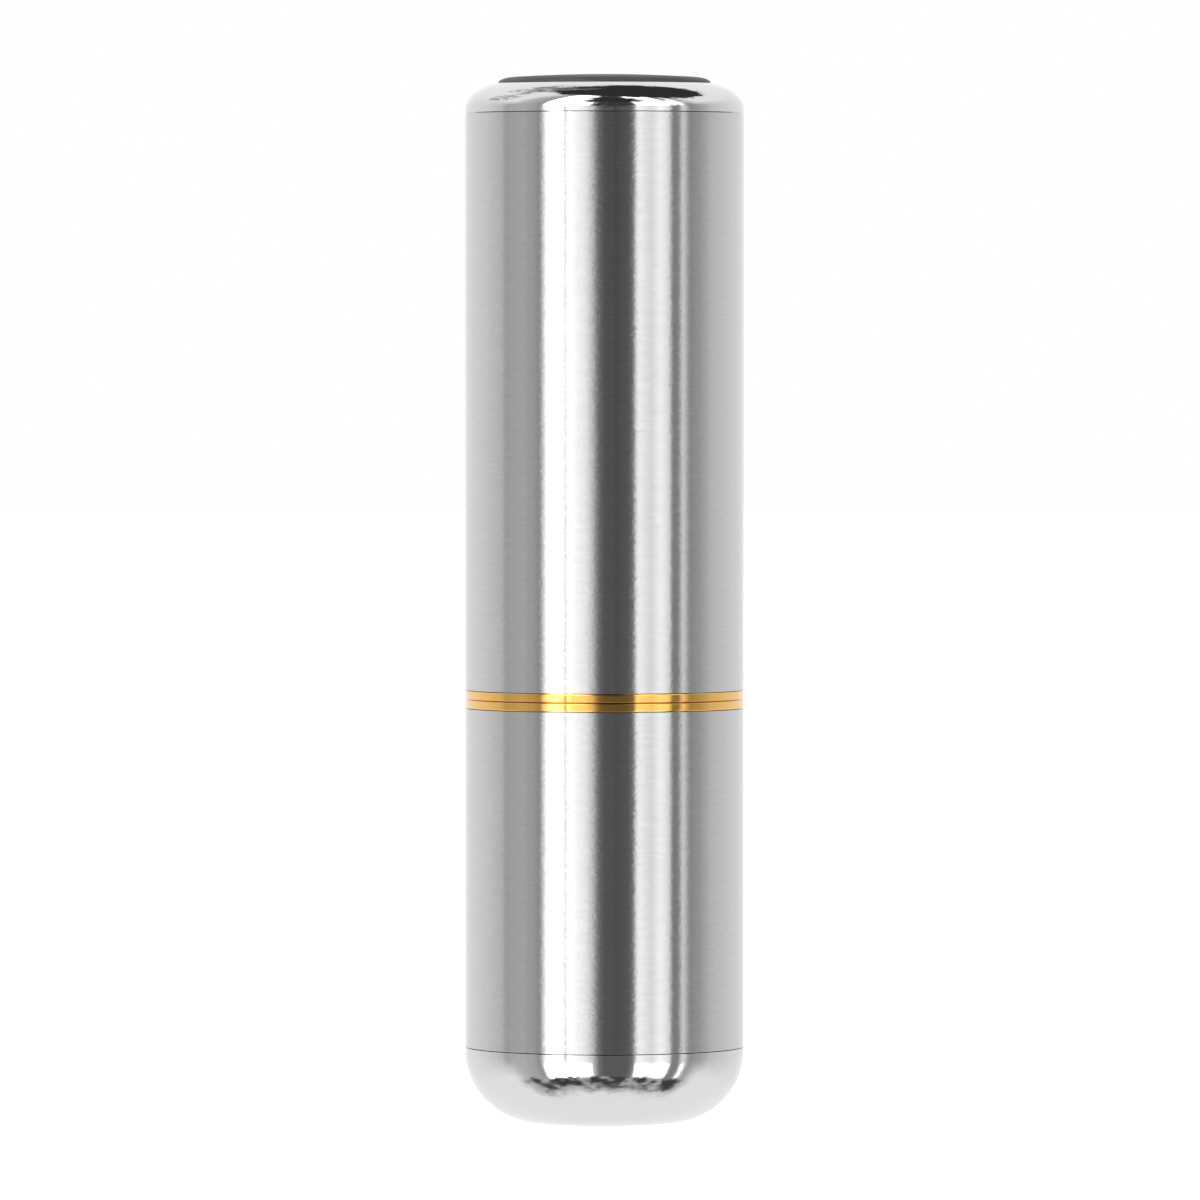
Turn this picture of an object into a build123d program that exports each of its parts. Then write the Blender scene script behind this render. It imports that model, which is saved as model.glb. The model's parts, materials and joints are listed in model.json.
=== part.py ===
"""Pocket massager: a slim round metal case in two screwed halves, with a push button in its top end.

Everything is turned about +Z. The origin is the centre of the small flat that the case stands on.
The lower half carries the vibration motor and the cell, and the upper half the button and its switch.
All sizes are in millimetres.
"""

import math
import os

from build123d import *

# ---- Case: driving sizes -------------------------------------------------------------------------
case_radius = 11.0
case_wall = 0.9
bore_radius = case_radius - case_wall
seat_gap = 0.02  # between a pushed-in spigot and its bore
spigot_radius = bore_radius - seat_gap
seam_chamfer = 0.08

base_radius = 5.3  # the flat that it stands on
tip_round = case_radius - base_radius
tip_top = 5.9
lower_top = 32.65
ring_height = 1.45
upper_bottom = lower_top + ring_height
upper_top = 79.55
shoulder_top = 82.06  # where the rim's oval would close, above the button's hole
case_top = 82.6

# ---- Round seals, each in a groove cut square ----------------------------------------------------
seal_groove = 1.0
case_seal_root = 9.3
tip_seal_height = 7.9
top_seal_height = 77.4
neck_seal_root = 8.65
neck_seal_height = 35.0

# ---- Quick thread between the halves -------------------------------------------------------------
thread_lead = 12.0
thread_starts = 6
thread_root = 8.95
thread_crest = 9.45
thread_from = 36.6
thread_to = 41.2
neck_top = 42.0
root_gap = 0.15
crest_gap = 0.22
neck_seat = 9.5
seal_bore = 9.6
ring_bore = 9.58  # turns on the neck's seat

# ---- Motor ---------------------------------------------------------------------------------------
shaft_radius = 1.0
bush_gap = 0.04
can_radius = 6.0
can_wall = 0.4
can_bottom = 10.4
can_top = 22.4
holder_bottom = 9.9
tab_radius = 4.2
board_seat = 25.6

# ---- Cell, size AAA ------------------------------------------------------------------------------
cell_radius = 5.2
cell_length = 44.5
nub_height = 0.8
board_thickness = 0.8
pad_height = 0.6
cell_bottom = board_seat + board_thickness + pad_height
cell_top = cell_bottom + cell_length
coupler_bottom = board_seat + board_thickness + 0.3

# ---- Button and switch ---------------------------------------------------------------------------
button_radius = 8.38
button_hole = 8.45
button_travel = 0.7
flange_radius = 8.9
flange_bore = 9.0
lip_bottom = 80.3
core_bottom = 79.5
core_top = 81.2
control_bottom = 74.6
control_top = 75.6
switch_side = 7.0
switch_top = 78.2
stem_radius = 1.7
spring_seat = 80.4
button_seal_root = 7.9
button_seal_low = 80.55
button_seal_high = 80.95

UP = (Align.CENTER, Align.CENTER, Align.MIN)


def disc(radius, low, high):
    """A round plate or rod on the axis."""
    return Pos(0, 0, low) * Cylinder(radius, high - low, align=UP)


def tube(inner, outer, low, high):
    """A round wall about the axis, cut clean through."""
    return disc(outer, low, high) - disc(inner, low - 1, high + 1)


def block(x, y, low, high, at=(0, 0), turn=0):
    """A box that stands on the height low, at a place in plan, then turned about the axis."""
    body = Pos(at[0], at[1], low) * Box(x, y, high - low, align=UP)
    return Rot(0, 0, turn) * body


def turned(*edges):
    """Revolves an outline of (radius, height) edges about the axis."""
    return revolve(Plane.XZ * make_face(Wire(edges)), Axis.Z)


def outline(*points):
    """Straight edges through (radius, height) points, in order."""
    return [Line(a, b) for a, b in zip(points, points[1:])]


def seal_slot(root, height):
    """The square groove round a spigot that a seal lies in."""
    return tube(root, case_radius, height - seal_groove / 2, height + seal_groove / 2)


def o_ring(root, outer, height):
    section = (outer - root) / 2
    return Pos(0, 0, height) * Torus(root + section, section)


def round_edges(body, radius, height, size):
    """Chamfers the circular edges of one radius at one height."""
    found = [
        e
        for e in body.edges().filter_by(GeomType.CIRCLE)
        if abs(e.radius - radius) < 1e-4 and abs(e.center(CenterOf.MASS).Z - height) < 1e-4
    ]
    return chamfer(found, size)


def coil(radius_low, radius_high, wire, low, high, turns):
    """A round-wire spring that stands between two heights."""
    start, end = low + wire / 2, high - wire / 2
    cone = math.degrees(math.atan2(radius_high - radius_low, end - start))
    pitch = (end - start) / turns
    path = Pos(0, 0, start) * Helix(pitch=pitch, height=end - start, radius=radius_low, cone_angle=cone)
    section = Plane(origin=path @ 0, z_dir=path % 0) * Circle(wire / 2)
    return sweep(section, path=path, is_frenet=True)


# ---- Outer case ----------------------------------------------------------------------------------
def tip_cap():
    """The domed end: a flat foot, one large round, and a spigot that goes up into the lower sleeve."""
    cavity_floor, cavity_flat, cavity_round = 1.3, 4.6, 4.2
    spigot_inner = cavity_flat + cavity_round
    spigot_top = holder_bottom
    shell = turned(
        Line((0, cavity_floor), (0, 0)),
        Line((0, 0), (base_radius, 0)),
        CenterArc((base_radius, tip_round), tip_round, 270, 90),
        *outline(
            (case_radius, tip_round),
            (case_radius, tip_top),
            (spigot_radius, tip_top),
            (spigot_radius, spigot_top),
            (spigot_inner, spigot_top),
            (spigot_inner, cavity_floor + cavity_round),
        ),
        CenterArc((cavity_flat, cavity_floor + cavity_round), cavity_round, 0, -90),
        Line((cavity_flat, cavity_floor), (0, cavity_floor)),
    )
    shell = round_edges(shell, case_radius, tip_top, seam_chamfer)
    return shell - seal_slot(case_seal_root, tip_seal_height)


def tip_seal():
    return o_ring(case_seal_root, bore_radius, tip_seal_height)


def sleeve(low, high):
    """One plain length of the case wall, with a fine chamfer at each seam."""
    wall = tube(bore_radius, case_radius, low, high)
    wall = round_edges(wall, case_radius, low, seam_chamfer)
    return round_edges(wall, case_radius, high, seam_chamfer)


def accent_ring():
    """Two flat bands with a groove between them and a chamfer at each end, free to turn on the neck."""
    groove, depth, edge = 0.16, 0.08, 0.12
    middle = (lower_top + upper_bottom) / 2
    ring = tube(ring_bore, case_radius, lower_top, upper_bottom)
    ring = round_edges(ring, case_radius, lower_top, edge)
    ring = round_edges(ring, case_radius, upper_bottom, edge)
    return ring - tube(case_radius - depth, case_radius + 1, middle - groove / 2, middle + groove / 2)


def top_cap():
    """The polished rim round the button, with a spigot that goes down into the upper sleeve."""
    shoulder_across, shoulder_high = 4.02, 2.23
    shoulder_from = shoulder_top - shoulder_high
    spigot_bottom, board_bore = 73.2, 9.4
    shoulder_centre = (case_radius - shoulder_across, shoulder_from)
    shoulder = EllipticalCenterArc(shoulder_centre, shoulder_across, shoulder_high, arc_size=90)
    rim_edge = shoulder @ 1
    cap = turned(
        Line((case_radius, upper_top), (case_radius, shoulder_from)),
        shoulder,
        Line((rim_edge.X, rim_edge.Y), (0, shoulder_top)),
        *outline(
            (0, shoulder_top),
            (0, spigot_bottom),
            (spigot_radius, spigot_bottom),
            (spigot_radius, upper_top),
            (case_radius, upper_top),
        ),
    )
    cap = round_edges(cap, case_radius, upper_top, seam_chamfer)
    cap -= disc(button_hole, lip_bottom - 1, shoulder_top + 1)
    cap -= disc(flange_bore, control_top - 0.1, lip_bottom)
    cap -= disc(board_bore, spigot_bottom - 1, control_top)
    return cap - seal_slot(case_seal_root, top_seal_height)


def top_seal():
    return o_ring(case_seal_root, bore_radius, top_seal_height)


# ---- Quick thread --------------------------------------------------------------------------------
def thread_ridges(root, crest, low, high, at_root, at_crest, phase):
    """All starts of a trapezoid ridge that climbs by the lead in each turn."""
    path = Pos(0, 0, low) * Helix(pitch=thread_lead, height=high - low, radius=root)
    across = Plane(origin=(root, 0, low), x_dir=(1, 0, 0), z_dir=(0, -1, 0))
    sunk = -0.3
    corners = [(sunk, -at_root), (crest - root, -at_crest), (crest - root, at_crest), (sunk, at_root)]
    ridge = sweep(across * make_face(Polyline(*corners, close=True)), path=path, is_frenet=True)
    return [Rot(0, 0, phase + 360 / thread_starts * i) * ridge for i in range(thread_starts)]


def coupler():
    """The threaded neck, fixed in the top of the lower sleeve."""
    bore, neck_step, thread_step = 8.3, 9.2, 36.0
    slot_low, slot_high = neck_seal_height - seal_groove / 2, neck_seal_height + seal_groove / 2
    body = turned(
        *outline(
            (bore, coupler_bottom),
            (spigot_radius, coupler_bottom),
            (spigot_radius, lower_top),
            (neck_seat, lower_top),
            (neck_seat, slot_low),
            (neck_seal_root, slot_low),
            (neck_seal_root, slot_high),
            (neck_step, slot_high),
            (neck_step, thread_step),
            (thread_root, thread_step),
            (thread_root, neck_top - 0.4),
            (thread_root - 0.3, neck_top),
            (bore, neck_top),
            (bore, coupler_bottom),
        )
    )
    for ridge in thread_ridges(thread_root, thread_crest, thread_from, thread_to, 0.5, 0.3, 0):
        body += ridge
    return body


def neck_seal():
    return o_ring(neck_seal_root, neck_seat, neck_seal_height)


def thread_insert():
    """The matching thread, fixed in the bottom of the upper sleeve, with a plain bore for the seal."""
    insert_top, bore_from, past = 42.6, 36.3, 1.0
    root, crest = thread_root + root_gap, thread_crest + crest_gap
    body = tube(root, spigot_radius, upper_bottom, insert_top)
    body -= disc(seal_bore, upper_bottom - past, bore_from)
    low, high = bore_from - past, insert_top + past
    phase = 360 * (low - thread_from) / thread_lead
    for groove in thread_ridges(root, crest, low, high, 0.66, 0.44, phase):
        body -= groove
    return body


# ---- Motor ---------------------------------------------------------------------------------------
def motor_holder():
    """The moulded cup that centres the motor, fluted outside and hollow above for the leads."""
    flutes, flute_radius = 6, 1.3
    body = disc(bore_radius - 0.05, holder_bottom, board_seat)
    body -= disc(3.2, holder_bottom - 1, can_bottom)
    body -= disc(can_radius + seat_gap, can_bottom, board_seat + 1)
    body -= disc(8.4, can_top + 1.0, board_seat + 1)
    for i in range(flutes):
        notch = Pos(bore_radius, 0, holder_bottom - 1) * Cylinder(flute_radius, 30, align=UP)
        body -= Rot(0, 0, 360 / flutes * i) * notch
    return body


def motor_can():
    boss = 2.7
    body = disc(can_radius, can_bottom, can_top) + disc(boss, can_bottom - 0.6, can_bottom)
    body -= disc(can_radius - can_wall, can_bottom + 0.5, can_top + 1)
    return round_edges(body, can_radius, can_bottom, 0.3) - disc(2.0, can_bottom - 1, can_top)


def front_bush():
    return tube(shaft_radius + bush_gap, 2.0, can_bottom - 0.6, can_bottom + 1.4)


def rear_bush():
    return tube(shaft_radius + bush_gap, 1.8, can_top - 0.1, can_top + 1.4)


def field_magnets():
    """Two curved magnets against the can's wall."""
    ring = tube(4.5, can_radius - can_wall, 12.0, 20.4)
    return ring - block(30, 2.4, 11, 22)


def motor_end_cap():
    """The moulded back of the motor: a plug in the can, a flange on its rim and a seat for the bush."""
    body = disc(can_radius - can_wall, can_top - 0.5, can_top) + disc(can_radius, can_top, can_top + 0.8)
    body += disc(2.8, can_top + 0.8, can_top + 1.4)
    return body - disc(1.8, can_top - 1, can_top + 2)


def brushes():
    """Two leaf brushes that hang from the end cap beside the commutator."""
    return [block(0.2, 1.2, 20.3, can_top - 0.5, at=(2.15, 0), turn=t) for t in (0, 180)]


def motor_tabs():
    return [block(0.3, 1.6, can_top + 0.8, can_top + 2.3, at=(tab_radius, 0), turn=t) for t in (0, 180)]


def motor_leads():
    """Two short insulated wires, from the motor's tabs up to the contact board."""
    lead_radius, height = 0.45, can_top + 1.7
    start, end = tab_radius + 0.15, tab_radius + 2.15
    route = FilletPolyline((start, 0, height), (end, 0, height), (end, 0, board_seat), radius=1.2)
    wire = sweep(Plane(origin=route @ 0, z_dir=route % 0) * Circle(lead_radius), path=route)
    return [Rot(0, 0, t) * wire for t in (0, 180)]


def motor_shaft():
    body = disc(shaft_radius, 3.2, can_top + 1.0)
    return round_edges(body, shaft_radius, 3.2, 0.15)


def eccentric_weight():
    """A half-round weight on a full collar, so that the shaft pulls to one side as it spins."""
    low, high, sweep_radius, collar = 3.6, 8.8, 6.2, 2.4
    half = disc(sweep_radius, low, high) - block(20, 10, low - 1, high + 1, at=(0, 5.6))
    return half + disc(collar, low, high) - disc(shaft_radius, low - 1, high + 1)


def rotor_core():
    """The three-pole iron stack."""
    low, high, poles = 13.0, 19.0, 3
    body = disc(1.6, low, high)
    shoe = tube(3.5, 4.2, low, high)
    for i in range(poles):
        body += block(3.2, 1.4, low, high, at=(2.1, 0), turn=120 * i)
    for i in range(poles):
        shoe -= block(4.0, 1.1, low - 1, high + 1, at=(4.0, 0), turn=60 + 120 * i)
    return body + shoe - disc(shaft_radius, low - 1, high + 1)


def rotor_windings():
    """One coil round each pole."""
    coils = []
    for i in range(3):
        wound = block(1.4, 3.0, 12.4, 19.6, at=(2.7, 0)) - block(4, 1.4, 13.0, 19.0, at=(2.7, 0))
        coils.append(Rot(0, 0, 120 * i) * (wound & disc(3.5, 12, 20)))
    return coils


def commutator():
    body = tube(shaft_radius, 1.95, 20.2, 21.7)
    for i in range(3):
        body -= block(1.2, 0.25, 20.0, 21.4, at=(1.9, 0), turn=60 + 120 * i)
    return body


# ---- Cell and its contacts -----------------------------------------------------------------------
def contact_board():
    return disc(9.4, board_seat, board_seat + board_thickness)


def ground_ring():
    top = board_seat + board_thickness
    return tube(8.6, 9.3, top, coupler_bottom)


def contact_pad():
    top = board_seat + board_thickness
    return round_edges(disc(2.2, top, cell_bottom), 2.2, cell_bottom, 0.2)


def cell_cradle():
    """An open moulded cage that holds the cell on the axis: collars, ribs and a window in front."""
    low, high = board_seat + board_thickness, 68.0
    inner, wall_outer, collar = cell_radius + 0.2, 6.4, 8.2
    body = disc(wall_outer, low, high)
    for a, b in ((low, low + 2.4), (neck_top - 2.0, neck_top), (high - 2.6, high)):
        body += disc(collar, a, b)
    for i in range(4):
        body += block(collar, 1.1, low, high, at=(collar / 2 - 0.05, 0), turn=45 + 90 * i)
    body -= disc(inner, low - 1, high + 1)
    window_low, window_high = neck_top + 1.5, high - 3.6
    wedge = block(8.3, 20, window_low, window_high, at=(0, -10))
    return body - wedge


def cell_can():
    """The steel can, with its nub pointing down at the contact pad."""
    body = disc(cell_radius - 0.1, cell_bottom + nub_height, cell_top - 0.2)
    body = round_edges(body, cell_radius - 0.1, cell_bottom + nub_height, 0.35)
    body = round_edges(body, cell_radius - 0.1, cell_top - 0.2, 0.3)
    return body + round_edges(disc(1.9, cell_bottom, cell_bottom + nub_height), 1.9, cell_bottom, 0.2)


def cell_label():
    return tube(cell_radius - 0.1, cell_radius, cell_bottom + nub_height + 0.5, cell_top - 0.7)


def cell_seal():
    return tube(4.0, 4.6, cell_top - 0.2, cell_top - 0.1)


def cell_end_disc():
    return round_edges(disc(3.9, cell_top - 0.2, cell_top), 3.9, cell_top, 0.1)


# ---- Switch and board in the top end -------------------------------------------------------------
def retaining_ring():
    """The ring that holds the board up, with two slots for a pin spanner."""
    body = tube(8.0, 9.38, 73.4, control_bottom)
    return body - block(30, 1.4, 73.0, 74.0)


def control_board():
    return disc(9.35, control_bottom, control_top)


def control_chip():
    return block(3.2, 3.2, control_bottom - 0.9, control_bottom, at=(5.7, 0), turn=20)


def board_parts():
    """Two capacitors and four resistors on the underside of the board."""
    low, high = control_bottom - 0.8, control_bottom
    capacitors = [block(1.6, 0.9, low, high, at=(5.6, 0), turn=t) for t in (120, 165)]
    resistors = [block(1.2, 0.7, low + 0.4, high, at=(6.3, 0), turn=t) for t in (215, 240, 265, 290)]
    return capacitors + resistors


def switch_body():
    body = block(switch_side, switch_side, control_top, switch_top - 0.3)
    return body - disc(stem_radius + 0.05, control_top + 0.25, switch_top + 1)


def switch_cover():
    """The pressed steel cover, with four feet down the sides of the body."""
    plate = block(switch_side, switch_side, switch_top - 0.3, switch_top)
    for t in range(4):
        plate += block(0.25, 1.6, control_top, switch_top, at=(switch_side / 2 + 0.125, 0), turn=90 * t)
    return plate - disc(stem_radius + 0.05, switch_top - 1, switch_top + 1)


def contact_spring():
    """The coned spring that presses on the cell's flat end."""
    return coil(2.2, 3.2, 0.4, cell_top, control_bottom, 3.0)


def return_spring():
    """The coil that lifts the button, seated on the board round the switch."""
    return coil(6.2, 6.2, 0.4, control_top, spring_seat, 3.5)


# ---- Button --------------------------------------------------------------------------------------
def switch_stem():
    return disc(stem_radius, control_top + 0.3 + button_travel, core_bottom)


def button_core():
    """The hard centre: a flange that stops under the rim, a shank and a boss over the stem."""
    body = disc(flange_radius, core_bottom, lip_bottom - 0.05) + disc(button_radius, core_bottom, core_top)
    body -= tube(2.6, 7.6, core_bottom - 1, spring_seat)
    return body - tube(button_seal_root, button_radius + 1, button_seal_low, button_seal_high)


def button_seal():
    return tube(button_seal_root, button_hole - 0.03, button_seal_low, button_seal_high)


def button_cap():
    """The soft black top: a flat oval round at the edge that runs into a shallow dome."""
    edge_low, edge_across, dome_rise = 81.9, 1.4, 0.22
    dome_edge = button_radius - edge_across
    edge_high = case_top - dome_rise - edge_low
    edge = EllipticalCenterArc((dome_edge, edge_low), edge_across, edge_high, arc_size=90)
    dome_radius = (dome_edge**2 + dome_rise**2) / (2 * dome_rise)
    half = math.asin(dome_edge / dome_radius) / 2
    dome_mid = (dome_radius * math.sin(half), case_top - dome_radius * (1 - math.cos(half)))
    return turned(
        Line((0, core_top), (button_radius, core_top)),
        Line((button_radius, core_top), (button_radius, edge_low)),
        edge,
        ThreePointArc((dome_edge, edge_low + edge_high), dome_mid, (0, case_top)),
        Line((0, case_top), (0, core_top)),
    )


nodes = {
    "tip_cap": tip_cap(),
    "tip_seal": tip_seal(),
    "lower_sleeve": sleeve(tip_top, lower_top),
    "motor_holder": motor_holder(),
    "motor_can": motor_can(),
    "motor_front_bush": front_bush(),
    "motor_rear_bush": rear_bush(),
    "motor_magnets": field_magnets(),
    "motor_end_cap": motor_end_cap(),
    "motor_brushes": brushes(),
    "motor_tabs": motor_tabs(),
    "motor_leads": motor_leads(),
    "contact_board": contact_board(),
    "ground_ring": ground_ring(),
    "contact_pad": contact_pad(),
    "threaded_coupler": coupler(),
    "neck_seal": neck_seal(),
    "cell_cradle": cell_cradle(),
    "cell_can": cell_can(),
    "cell_label": cell_label(),
    "cell_seal": cell_seal(),
    "cell_end_disc": cell_end_disc(),
    "motor_shaft": motor_shaft(),
    "rotor_core": rotor_core(),
    "rotor_windings": rotor_windings(),
    "commutator": commutator(),
    "eccentric_weight": eccentric_weight(),
    "accent_ring": accent_ring(),
    "upper_sleeve": sleeve(upper_bottom, upper_top),
    "thread_insert": thread_insert(),
    "top_cap": top_cap(),
    "top_seal": top_seal(),
    "retaining_ring": retaining_ring(),
    "control_board": control_board(),
    "control_chip": control_chip(),
    "board_parts": board_parts(),
    "switch_body": switch_body(),
    "switch_cover": switch_cover(),
    "contact_spring": contact_spring(),
    "return_spring": return_spring(),
    "button_cap": button_cap(),
    "button_core": button_core(),
    "button_seal": button_seal(),
    "switch_stem": switch_stem(),
}

os.makedirs("parts", exist_ok=True)
for name, shape in nodes.items():
    solids = shape if isinstance(shape, list) else shape.solids()
    export_step(Compound([s for item in solids for s in item.solids()]), f"parts/{name}.step")
print(len(nodes), "nodes")
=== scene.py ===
import json
import math

import bpy
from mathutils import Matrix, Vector


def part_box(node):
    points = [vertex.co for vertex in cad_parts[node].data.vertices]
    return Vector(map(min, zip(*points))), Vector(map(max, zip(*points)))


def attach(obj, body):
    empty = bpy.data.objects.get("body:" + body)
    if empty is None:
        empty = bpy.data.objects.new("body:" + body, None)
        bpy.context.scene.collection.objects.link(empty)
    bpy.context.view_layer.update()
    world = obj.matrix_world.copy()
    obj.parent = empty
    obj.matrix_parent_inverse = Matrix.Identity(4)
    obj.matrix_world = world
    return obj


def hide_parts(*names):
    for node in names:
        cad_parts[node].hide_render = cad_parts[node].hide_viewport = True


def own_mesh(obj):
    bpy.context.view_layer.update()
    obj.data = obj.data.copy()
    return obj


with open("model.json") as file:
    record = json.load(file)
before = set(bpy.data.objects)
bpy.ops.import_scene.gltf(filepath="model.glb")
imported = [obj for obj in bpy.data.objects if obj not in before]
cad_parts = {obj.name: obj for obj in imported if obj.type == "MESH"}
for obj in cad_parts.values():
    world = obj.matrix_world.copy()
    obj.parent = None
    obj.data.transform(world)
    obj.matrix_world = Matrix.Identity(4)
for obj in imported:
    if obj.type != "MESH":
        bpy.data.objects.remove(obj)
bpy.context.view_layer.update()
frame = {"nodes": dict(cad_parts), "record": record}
bpy.ops.object.select_all(action='DESELECT')
print('frame loaded:', len(frame['nodes']), 'nodes')

mm = 0.001
scene = bpy.context.scene
scene.view_settings.view_transform = 'Standard'


def deselect():
    bpy.ops.object.select_all(action='DESELECT')


def applyPlace():
    bpy.ops.object.transform_apply(location=True, rotation=True, scale=True)


def span(node):
    low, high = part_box(node)
    return low.z / mm, high.z / mm


def radiusOf(node):
    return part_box(node)[1].x / mm


barrel = radiusOf('upper_sleeve')
lowSeam, ringBottom = span('lower_sleeve')
ringTop, topSeam = span('upper_sleeve')
bore = barrel - 0.9
spigot = bore - 0.02

cameraSettings = {
    'side': -0.355 * mm,
    'distance': 902 * mm,
    'height': 62.9 * mm,
    'tilt': 1.38,          # degrees down
    'lens': 343.2,
    'sensor': 36,
}


def makeCamera():
    s = cameraSettings
    place = (s['side'], -s['distance'], s['height'])
    turn = (math.radians(90 - s['tilt']), 0, 0)
    bpy.ops.object.camera_add(location=place, rotation=turn)
    cam = bpy.context.object
    cam.name = 'mainCamera'
    cam.data.sensor_width = s['sensor']
    cam.data.lens = s['lens']
    cam.data.clip_start = 0.01
    cam.data.clip_end = 20
    scene.camera = cam
    deselect()
    print('camera made')


makeCamera()

studio = {
    # softboxes and flags on a circle round the object: degrees from the front towards +X, brightness
    'cards': [
        (-180, 1.00), (-128, 0.88), (-112, 0.80), (-94, 0.64), (-90, 0.48), (-72, 0.55), (-60, 0.45),
        (-55, 0.34), (-51, 1.10), (-45, 2.60), (-35, 2.40), (-32.6, 0.40), (-30.5, 2.20), (-27, 1.45),
        (-16, 1.15), (-10, 0.75), (-5, 0.21), (0, 0.13), (19, 0.13), (24, 0.24), (27, 1.30), (39, 0.95),
        (47, 1.30), (55, 1.00), (58, 0.26), (64, 0.28), (68, 0.95), (75, 0.34), (86, 0.44), (100, 0.68),
        (128, 0.84), (180, 1.00),
    ],
    'sideFrom': 70,        # past this many degrees from the front, the walls are pale above and below
    'sideTo': 92,
    'cardBottom': -33,     # degrees of elevation where the cards end
    'gapTone': (0.06, 0.50),    # a patchy dark gap under the cards that fades into the pale ground
    'hot': 1.2,            # how much brighter the front softboxes are above and below their middles
    'hotFrom': (10, 15),
    'groundFrom': (-46, -66),
    'groundTone': 0.98,
    'skyTone': 1.0,
    # dark hoods overhead and small lamps: azimuth, elevation and radius in degrees, and tone
    'spots': [
        (135, 74, 31, 0.035), (8, 48, 20, 0.035), (8, 20, 17, 0.05), (-150, 55, 9, 0.25),
        (-118, 38, 8, 0.45), (55, 28, 14, 1.5)],
    'ragged': 0.22,        # how uneven the edges of the gap and the hoods are
    'fabric': 0.10,        # how uneven the softbox fabric is
    'backdrop': 1.0,
}


def addNode(tree, kind, **inputs):
    node = tree.nodes.new(kind)
    for key, value in inputs.items():
        setattr(node, key, value)
    return node


def feed(tree, value, socket):
    if isinstance(value, (int, float)):
        socket.default_value = value
    else:
        tree.links.new(value, socket)


def mathNode(tree, operation, a, b=None, clamp=False):
    node = addNode(tree, 'ShaderNodeMath', operation=operation, use_clamp=clamp)
    feed(tree, a, node.inputs[0])
    if b is not None:
        feed(tree, b, node.inputs[1])
    return node.outputs[0]


def times(tree, a, b):
    return mathNode(tree, 'MULTIPLY', a, b)


def plus(tree, a, b):
    return mathNode(tree, 'ADD', a, b)


def minus(tree, a, b):
    return mathNode(tree, 'SUBTRACT', a, b)


def larger(tree, a, b):
    return mathNode(tree, 'MAXIMUM', a, b)


def axes(tree, vector):
    split = addNode(tree, 'ShaderNodeSeparateXYZ')
    tree.links.new(vector, split.inputs[0])
    return split.outputs


def noiseNode(tree, vector, scale, detail=3.0, roughness=0.6):
    node = addNode(tree, 'ShaderNodeTexNoise')
    tree.links.new(vector, node.inputs['Vector'])
    feed(tree, scale, node.inputs['Scale'])
    node.inputs['Detail'].default_value = detail
    node.inputs['Roughness'].default_value = roughness
    return node.outputs['Fac']


def mapped(tree, value, low, high, toLow=0.0, toHigh=1.0, way='SMOOTHSTEP'):
    node = addNode(tree, 'ShaderNodeMapRange', interpolation_type=way)
    tree.links.new(value, node.inputs['Value'])
    for name, amount in (('From Min', low), ('From Max', high), ('To Min', toLow), ('To Max', toHigh)):
        node.inputs[name].default_value = amount
    return node.outputs['Result']


def mixTone(tree, factor, a, b):
    node = addNode(tree, 'ShaderNodeMix', data_type='FLOAT')
    for place, value in ((0, factor), (2, a), (3, b)):
        feed(tree, value, node.inputs[place])
    return node.outputs[0]


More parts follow.
